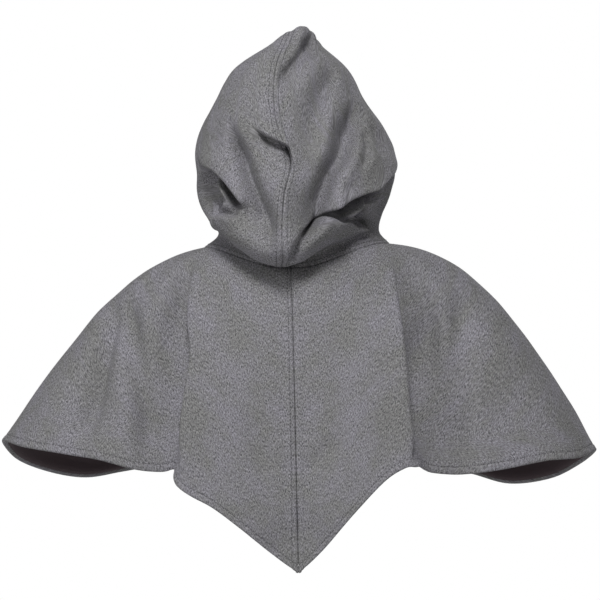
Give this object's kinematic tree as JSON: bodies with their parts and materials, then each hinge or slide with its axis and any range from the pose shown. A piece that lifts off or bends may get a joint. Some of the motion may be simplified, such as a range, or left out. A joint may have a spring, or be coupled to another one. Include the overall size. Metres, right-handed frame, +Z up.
{
  "type": "hood with shoulder mantle",
  "caption": "Pull-over wool hood with a peaked crown, a face opening and a lined shoulder mantle that ends in a point at the back.",
  "frame": {"origin": "middle of the neck seam at the height of its side points, where the hood sits round the wearer's neck", "axes": "+Z up, +Y the way the wearer faces, +X towards the wearer's right"},
  "size_m": [0.7745, 0.3168, 0.6834],
  "materials": {
    "wool": "matte felted wool, grey melange",
    "folded_wool": "matte felted wool, folded edge",
    "lining": "dark plain-woven lining"
  },
  "bodies": {
    "root": {"hood_panel_left": "wool", "hood_panel_right": "wool", "hood_seam_allowance_left": "folded_wool", "hood_seam_allowance_right": "folded_wool", "face_hem_left": "folded_wool", "face_hem_right": "folded_wool", "mantle_panel_left": "wool", "mantle_panel_right": "wool", "mantle_lining_left": "lining", "mantle_lining_right": "lining", "mantle_hem_left": "folded_wool", "mantle_hem_right": "folded_wool"}
  },
  "joints": []
}
